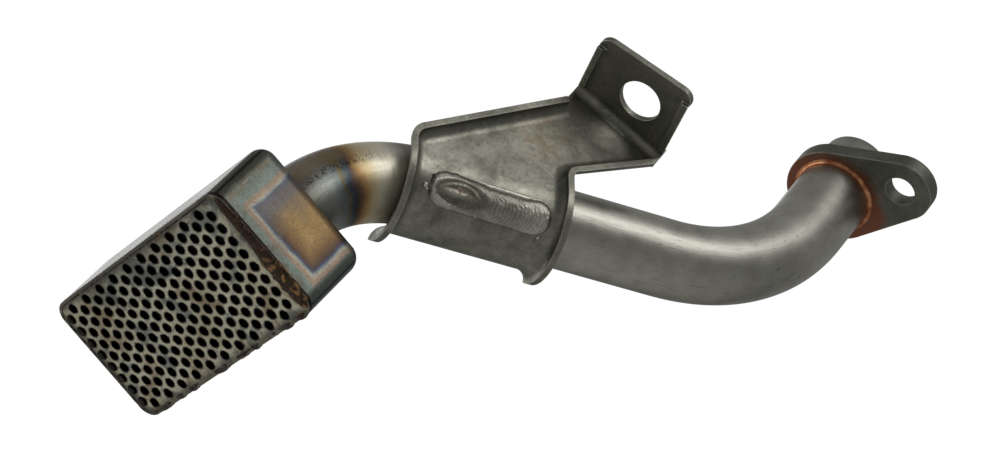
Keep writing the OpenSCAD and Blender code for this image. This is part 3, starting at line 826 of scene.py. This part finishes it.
def build_slot_weld(material):
    """The weld as an upper and a lower sheet with a wall round them, marked for its looks."""
    columns = 230
    rows = 72
    bm = bmesh.new()
    marks = [bm.verts.layers.float.new(name) for name in ("toe", "crater", "pale", "ripple", "rust")]
    grids = ([], [])
    for i in range(columns + 1):
        t = -math.cos(math.pi * i / columns)
        p = WELD_HALF * t
        ragged = 1 + 0.05 * noise.noise(Vector((p * 0.5, 0, 11.0)))
        end = max(abs(p) - (WELD_HALF - WELD_WIDE), 0.0) / WELD_WIDE
        wide = WELD_WIDE * math.sqrt(max(1 - end * end, 0.0004)) * ragged
        turn = WELD_TURN + WELD_SLANT * t
        at_end = smooth_step(abs(t), 0.90, 1.0)
        for grid, top in zip(grids, (True, False)):
            line = []
            for j in range(rows + 1):
                q = wide * (2 * j / rows - 1)
                # ripple here is the painted shade in the ripples' valleys
                height, toe, crater, pale, ripple = weld_height(p, q, wide)
                height = height * (1 - at_end ** 2) if top else WELD_UNDER
                rust = 0.9 * math.exp(-((p - RUST_MID) ** 2 + (q - RUST_ASIDE) ** 2) / RUST_SPREAD)
                place = on_saddle(WELD_MID + p, turn + q / SADDLE_OUT, height - WELD_SUNK)
                vert = bm.verts.new(place * MM)
                dark = max(0.85 * toe, 0.5 * at_end)
                for mark, value in zip(marks, (dark, crater, pale, ripple, rust)):
                    vert[mark] = value
                line.append(vert)
            grid.append(line)
    for grid in grids:
        for i in range(columns):
            for j in range(rows):
                bm.faces.new((grid[i][j], grid[i + 1][j], grid[i + 1][j + 1], grid[i][j + 1]))
    upper, lower = grids
    outline = [(i, 0) for i in range(columns)] + [(columns, j) for j in range(rows)]
    outline += [(i, rows) for i in range(columns, 0, -1)] + [(0, j) for j in range(rows, 0, -1)]
    for (i, j), (i2, j2) in zip(outline, outline[1:] + outline[:1]):
        bm.faces.new((upper[i][j], upper[i2][j2], lower[i2][j2], lower[i][j]))
    piece = new_piece("slot_bead", bm, material)
    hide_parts("slot_weld")


# Weld balls on the saddle: place along the run, turn in degrees, radius, and 1 if pale or 0 if dark
WELD_BALLS = (
    (76.9, 55.5, 0.75, 1), (76.2, 52.0, 0.4, 1), (42.2, 32.6, 0.45, 1),
    (61.0, 36.5, 0.35, 1), (75.0, 68, 0.5, 0))
# How far a ball's middle stands over the saddle, as a share of its radius
BALL_RAISED = 0.25


def build_spatter(material):
    """Weld balls: two past the weld's strainer end, two over it, and a dark one towards the tab."""
    bm = bmesh.new()
    pale = bm.verts.layers.float.new("pale")
    toe = bm.verts.layers.float.new("toe")
    for station, angle, r, bright in WELD_BALLS:
        place = Matrix.Translation(on_saddle(station, math.radians(angle), r * BALL_RAISED) * MM)
        ball = bmesh.ops.create_icosphere(bm, subdivisions=3, radius=r * MM, matrix=place)
        for vert in ball["verts"]:
            vert[pale] = bright
            vert[toe] = 1 - bright
    new_piece("weld_spatter", bm, material)


def on_box(x, y, z):
    """A place in the strainer's frame, in millimetres, carried to the part's frame."""
    x -= INLET_SET
    turned_x = x * math.cos(BOX_TURN) - y * math.sin(BOX_TURN)
    turned_y = x * math.sin(BOX_TURN) + y * math.cos(BOX_TURN)
    return Vector((INLET_X + turned_x, turned_y, FLOOR_Z + z))


# How many steps go round each of the box's corners
CORNER_STEPS = 8


def box_outline(inset, step):
    """Points round the box, inset from its wall, with the outward direction at each."""
    r = BOX_ROUND - inset
    near = BOX_ROUND
    far = BOX_LEN - BOX_ROUND
    side = BOX_WID / 2 - BOX_ROUND
    corners = ((far, side, 0), (near, side, 90), (near, -side, 180), (far, -side, 270))
    points = []
    for k, (cx, cy, start) in enumerate(corners):
        for i in range(CORNER_STEPS + 1):
            a = math.radians(start + 90 * i / CORNER_STEPS)
            points.append((cx + r * math.cos(a), cy + r * math.sin(a), a))
        nx, ny, after = corners[(k + 1) % 4]
        a = math.radians(after)
        here = (points[-1][0], points[-1][1])
        there = (nx + r * math.cos(a), ny + r * math.sin(a))
        span = math.dist(here, there)
        count = max(int(span / step), 2)
        for i in range(1, count):
            f = i / count
            points.append((here[0] + (there[0] - here[0]) * f, here[1] + (there[1] - here[1]) * f, a))
    return points


# The seam: its radius, its inset from the box's wall and top, how much its lumps swell it and push it out,
# and how much thinner it is under the bead
SEAM_R = 1.05
SEAM_INSET = 1.0
SEAM_SWELL = 0.42
SEAM_PUSH = 0.35
SEAM_THIN = 0.35
# How golden its lumps are, the gold being partly tint and partly painted highlight on their tops; 1 is fully
# golden
SEAM_GILT = 0.35


def build_seam(material):
    """The fused seam between screen and box: smooth along most of it, lumpy along one long edge."""
    sides = 18
    step = 0.45
    bm = bmesh.new()
    mark = bm.verts.layers.float.new("lump")
    rings = []
    for x, y, a in box_outline(SEAM_INSET, step):
        lumpy = smooth_step(y, 12.0, 19.0) * smooth_step(BOX_LEN - x, 0.5, 10.0) * smooth_step(x, 0.5, 6.0)
        lump = max(noise.noise(Vector((x * 0.24, y * 0.24, 1.0))), 0.0) ** 0.6
        small = noise.noise(Vector((x * 0.8, y * 0.8, 5.0)))
        under_bead = smooth_step(5.0 - x, 0.5, 3.5)
        grow = 1 + 0.03 * small + lumpy * (SEAM_SWELL * lump + 0.10 * small - 0.08) - SEAM_THIN * under_bead
        out = Vector((math.cos(a), math.sin(a), 0))
        ring = []
        for k in range(sides):
            t = 2 * math.pi * k / sides
            rough = 1 + 0.04 * noise.noise(Vector((x * 1.1 + math.cos(t), y * 1.1 + math.sin(t), 9.0)))
            r = SEAM_R * grow * rough
            reach = r * math.cos(t) + SEAM_PUSH * lumpy * lump
            place = on_box(x + out.x * reach, y + out.y * reach, BOX_DEEP - SEAM_INSET + r * math.sin(t))
            vert = bm.verts.new(place * MM)
            vert[mark] = SEAM_GILT * lumpy * lump
            ring.append(vert)
        rings.append(ring)
    bridge(bm, rings, closed=True)
    new_piece("screen_seam", bm, material)


# The bead: how far it stops short of the box's sides, how deep it sits, where it turns lumpy,
# and its half width, height and place along the box, each with what the lumps add
BEAD_SHORT = 1.6
BEAD_SUNK = 0.3
BEAD_LUMPY = (-4.0, 5.0)
BEAD_HALF = 1.6
BEAD_HALF_MORE = 0.8
BEAD_HIGH = 1.05
BEAD_HIGH_MORE = 0.15
BEAD_AT = 1.5
BEAD_AT_MORE = 0.5


def build_screen_bead(material):
    """The weld bead along the screen's near end: dark and smooth at first, then in golden lumps."""
    sides = 36
    steps = 260
    reach = BOX_WID / 2 - BEAD_SHORT
    bm = bmesh.new()
    mark = bm.verts.layers.float.new("lump")
    rings = []
    for i in range(steps + 1):
        t = i / steps
        y = reach * (2 * t - 1)
        lumpy = smooth_step(y, *BEAD_LUMPY)
        end = math.sqrt(max(1 - (2 * t - 1) ** 8, 0.0)) * 0.98 + 0.02
        uneven = 1 + 0.10 * noise.noise(Vector((y * 0.42, 2.0, 0.0)))
        half_wide = (BEAD_HALF + BEAD_HALF_MORE * lumpy) * end * uneven
        high = (BEAD_HIGH + BEAD_HIGH_MORE * lumpy) * end
        x0 = BEAD_AT + BEAD_AT_MORE * lumpy + 0.2 * noise.noise(Vector((y * 0.25, 4.0, 0.0)))
        ring = []
        for k in range(sides):
            a = 2 * math.pi * k / sides
            spot = Vector((y * 0.55, 1.3 * math.cos(a), 6.0 + 1.3 * math.sin(a)))
            lump = max(noise.noise(spot) + 0.10, 0.0) ** 0.7
            pit = noise.noise(spot * 2.3)
            grow = 1 + lumpy * (0.55 * lump + 0.10 * pit - 0.12) + 0.03 * pit
            x = x0 + half_wide * (0.55 + 0.45 * grow) * math.cos(a)
            z = BOX_DEEP - BEAD_SUNK + high * grow * math.sin(a)
            vert = bm.verts.new(on_box(x, y, z) * MM)
            vert[mark] = lumpy * lump * 1.5
            ring.append(vert)
        rings.append(ring)
    bridge(bm, rings, closed=False)
    bm.faces.new(rings[0])
    bm.faces.new(list(reversed(rings[-1])))
    piece = new_piece("screen_bead", bm, material)
    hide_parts("screen_weld")


# How uneven the braze's leg is, and how far its hidden side reaches into tube and flange
BRAZE_UNEVEN = 0.16
BRAZE_SUNK = 0.3


def build_braze(material):
    """The copper fillet round the tube, uneven where it ran."""
    around = 160
    across = 14
    bm = bmesh.new()
    rings = []
    for i in range(around):
        a = 2 * math.pi * i / around
        flow = noise.noise(Vector((1.6 * math.cos(a), 1.6 * math.sin(a), 2.0)))
        leg = BRAZE_LEG * (1 + BRAZE_UNEVEN * flow)
        out = Vector((math.cos(a), math.sin(a), 0))
        section = [(TUBE_R - BRAZE_SUNK, -BRAZE_SUNK), (TUBE_R - BRAZE_SUNK, leg)]
        for k in range(across + 1):
            t = 0.5 * math.pi * k / across
            section.append((TUBE_R + leg * (1 - math.cos(t)), leg * (1 - math.sin(t))))
        section.append((TUBE_R + leg, -BRAZE_SUNK))
        rings.append([bm.verts.new((out * r + Vector((0, 0, FLANGE_T + h))) * MM) for r, h in section])
    bridge(bm, rings, closed=True)
    piece = new_piece("braze_ring", bm, material)
    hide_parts("flange_braze")


def dress(node, material):
    """Give a solid of the part its material and leave its shape."""
    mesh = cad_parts[node].data
    mesh.materials.clear()
    mesh.materials.append(material)


# Where the photograph was taken from, in millimetres, with the turn of the picture about the line of sight
CAMERA_AT = Vector((26.77, -576.22, 656.30))
CAMERA_SIGHT = Vector((0.04652, 0.72067, -0.69172))
CAMERA_UP = Vector((0.64884, -0.54830, -0.52761))
CAMERA_LENS = 106.72
CAMERA_SENSOR = 36
CAMERA_CLIP = (0.01, 50)


def build_camera():
    """The camera, with its line of sight and the turn of its picture."""
    data = bpy.data.cameras.new("camera")
    data.sensor_width = CAMERA_SENSOR
    data.lens = CAMERA_LENS
    camera = bpy.data.objects.new("camera", data)
    back = -CAMERA_SIGHT.normalized()
    right = CAMERA_UP.cross(back).normalized()
    up = back.cross(right)
    turn = Matrix((right, up, back)).transposed().to_4x4()
    camera.matrix_world = Matrix.Translation(CAMERA_AT * MM) @ turn
    data.clip_start, data.clip_end = CAMERA_CLIP
    bpy.context.scene.collection.objects.link(camera)
    bpy.context.scene.camera = camera


# How bright the floor shows to the camera, in the metal near the part, and in the metal far off
FLOOR_SEEN = 1.13
FLOOR_IN_METAL = 0.33
FLOOR_FAR_OFF = 0.11
# How much of what the camera sees of it is its own glow, and how white and rough the rest is
FLOOR_GLOW = 0.88
FLOOR_WHITE = (0.9, 0.9, 0.9)
FLOOR_ROUGH = 0.9
# How far the floor reaches from its middle, in metres
FLOOR_SIZE = 6.0
# How far the floor lies under the part, in metres, so that the low key light stands over it
FLOOR_DROP = 0.6
# From where to where, in metres, the floor darkens in the metal
FLOOR_FADE = (1.0, 2.2)


def build_floor():
    """A plain white floor, bright to the camera and dimmer in the metal."""
    bm = bmesh.new()
    bmesh.ops.create_grid(bm, x_segments=1, y_segments=1, size=FLOOR_SIZE)
    mesh = bpy.data.meshes.new("floor")
    bm.to_mesh(mesh)
    bm.free()
    floor = bpy.data.objects.new("floor", mesh)
    floor.location.z = cad_low.z - FLOOR_DROP
    bpy.context.scene.collection.objects.link(floor)
    n = Nodes("floor")
    n.set("Base Color", FLOOR_WHITE)
    n.set("Roughness", FLOOR_ROUGH)
    path = n.node("ShaderNodeLightPath")
    in_metal = n.math("MAXIMUM", path.outputs["Is Glossy Ray"], path.outputs["Is Transmission Ray"])
    far_off = n.fade(n.vector("LENGTH", n.at), FLOOR_FADE[0] / MM, FLOOR_FADE[1] / MM)
    level = n.span(far_off, 0, 1, FLOOR_IN_METAL, FLOOR_FAR_OFF)
    level = n.plus(n.times(in_metal, level), n.times(n.minus(1.0, in_metal), FLOOR_SEEN))
    glow = n.node("ShaderNodeEmission")
    n.put(glow.inputs["Strength"], level)
    blend = n.node("ShaderNodeMixShader")
    shown = n.math("MAXIMUM", n.times(path.outputs["Is Camera Ray"], FLOOR_GLOW), in_metal)
    n.put(blend.inputs[0], shown)
    n.put(blend.inputs[1], n.shader.outputs[0])
    n.put(blend.inputs[2], glow.outputs[0])
    n.put(n.tree.nodes["Material Output"].inputs["Surface"], blend.outputs[0])
    mesh.materials.append(n.material)


# Soft boxes: where each stands from the part's middle in metres, its size and its power
LIGHTS = (
    ("key_light", Vector((-0.10, -0.80, -0.41)), 0.45, 2.0),
    ("rim_light", Vector((0.26, 0.58, -0.47)), 0.40, 0.8),
    ("back_light", Vector((0.75, 0.60, 0.10)), 0.50, 1.2),
    ("side_light", Vector((0.80, 0.10, 0.30)), 0.50, 1.5),
)


def build_lights():
    """The soft boxes, each facing the part's middle and unseen by the camera."""
    middle = (cad_low + cad_high) / 2
    for name, offset, size, power in LIGHTS:
        data = bpy.data.lights.new(name, "AREA")
        data.shape = "SQUARE"
        data.size = size
        data.energy = power
        light = bpy.data.objects.new(name, data)
        light.visible_camera = False
        light.location = middle + offset
        light.rotation_mode = "QUATERNION"
        light.rotation_quaternion = (-offset).to_track_quat("-Z", "Y")
        bpy.context.scene.collection.objects.link(light)


# The room as the metal sees it: dim, and palest overhead and a little behind
PALE_SIDE = Vector((-0.25, 0.35, 0.90)).normalized()
ROOM_LEVELS = ((0.0, 0.10), (0.5, 0.22), (0.6, 0.26), (0.93, 0.40), (1.0, 0.41))
# The share of each level that its blue has
ROOM_BLUE = 0.98


def build_world():
    """The room round the part, white to the camera and shaded in the metal."""
    world = bpy.data.worlds.new("studio")
    world.use_nodes = True
    bpy.context.scene.world = world
    tree = world.node_tree
    coords = tree.nodes.new("ShaderNodeTexCoord")
    dot = tree.nodes.new("ShaderNodeVectorMath")
    dot.operation = "DOT_PRODUCT"
    dot.inputs[1].default_value = PALE_SIDE
    tree.links.new(coords.outputs["Generated"], dot.inputs[0])
    spread = tree.nodes.new("ShaderNodeMapRange")
    spread.inputs["From Min"].default_value = -1
    tree.links.new(dot.outputs["Value"], spread.inputs["Value"])
    ramp = tree.nodes.new("ShaderNodeValToRGB")
    while len(ramp.color_ramp.elements) < len(ROOM_LEVELS):
        ramp.color_ramp.elements.new(0.5)
    for element, (place, level) in zip(ramp.color_ramp.elements, ROOM_LEVELS):
        element.position = place
        element.color = (level, level, level * ROOM_BLUE, 1)
    tree.links.new(spread.outputs["Result"], ramp.inputs["Fac"])
    path = tree.nodes.new("ShaderNodeLightPath")
    mix = tree.nodes.new("ShaderNodeMix")
    mix.data_type = "RGBA"
    tree.links.new(path.outputs["Is Camera Ray"], mix.inputs[0])
    tree.links.new(ramp.outputs["Color"], mix.inputs[6])
    mix.inputs[7].default_value = (1, 1, 1, 1)
    tree.links.new(mix.outputs[2], tree.nodes["Background"].inputs["Color"])


build_camera()
weld = weld_scale()
slot_metal = slot_weld_metal()
build_tube(tube_steel())
build_slot_weld(slot_metal)
build_spatter(slot_metal)
build_seam(weld)
build_screen_bead(weld)
build_braze(copper_braze())
dress("bracket", bracket_steel())
dress("flange", flange_steel())
dress("strainer_box", box_steel())
dress("screen", screen_steel())
dress("inlet_weld", weld)
build_floor()
build_lights()
build_world()
bpy.context.scene.view_settings.view_transform = "Standard"
